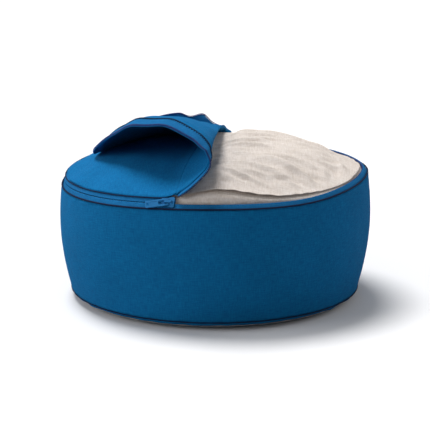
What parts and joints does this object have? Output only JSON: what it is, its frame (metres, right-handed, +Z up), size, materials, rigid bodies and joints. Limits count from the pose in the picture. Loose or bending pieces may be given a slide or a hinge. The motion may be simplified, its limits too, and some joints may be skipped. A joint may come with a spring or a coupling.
{
  "type": "floor cushion",
  "caption": "Round floor cushion with a husk-filled inner bag, in a blue cotton cover whose zip-off lid is half unzipped and folded back.",
  "frame": {"origin": "centre of the base, on the floor", "axes": "+Z up, +X to the right and -Y to the front, with the parted zip at the front and right"},
  "size_m": [0.33, 0.33, 0.2086],
  "materials": {
    "cover_cloth": "matt cotton canvas",
    "zip_tape": "woven tape",
    "zip_coil": "moulded nylon",
    "zip_metal": "satin enamel",
    "bag_cloth": "plain undyed linen",
    "husks": "loose dry husks"
  },
  "bodies": {
    "cover": {"side_panel": "cover_cloth", "bottom_panel": "cover_cloth", "zipped_lid": "cover_cloth", "back_hinge_strip": "zip_tape", "lower_zip_tape": "zip_tape", "lower_zip_coil": "zip_coil", "closed_zip_tape": "zip_tape", "closed_zip_coil": "zip_coil", "zip_start_stop": "zip_coil", "lower_end_stop": "zip_coil", "inner_bag_side": "bag_cloth", "inner_bag_top": "bag_cloth", "inner_bag_base": "bag_cloth", "husk_filling": "husks"},
    "lid_strip": {"lid_strip_cloth": "cover_cloth", "lid_strip_tape": "zip_tape", "lid_strip_coil": "zip_coil"},
    "lid_flap": {"lid_flap_cloth": "cover_cloth", "lid_flap_tape": "zip_tape", "lid_flap_coil": "zip_coil"},
    "slider": {"zip_slider": "zip_metal"},
    "pull": {"pull_tab": "zip_metal"}
  },
  "joints": [
    {"name": "lid_fold", "type": "hinge", "parent": "cover", "child": "lid_strip", "pos_m": [-0.01341, 0.00216, 0.16499], "axis": [0.1761, 0.9843, 0.0071], "range_deg": [0, 50]},
    {"name": "lid_second_fold", "type": "hinge", "parent": "lid_strip", "child": "lid_flap", "pos_m": [-0.0072, -0.15914, 0.2054], "axis": [0.0955, 0.9914, -0.0899], "range_deg": [0, 138]},
    {"name": "slider_travel", "type": "hinge", "parent": "cover", "child": "slider", "pos_m": [0, 0, 0.1315], "axis": [-0.0401, 0, 0.9992], "range_deg": [-138, 0]},
    {"name": "pull_swing", "type": "hinge", "parent": "slider", "child": "pull", "pos_m": [-0.04678, -0.15299, 0.13597], "axis": [-0.0333, 0.591, 0.806], "range_deg": [0, 160]}
  ],
  "couplings": [
    {"joint": "lid_second_fold", "follows": "lid_fold", "ratio": 2.75}
  ]
}
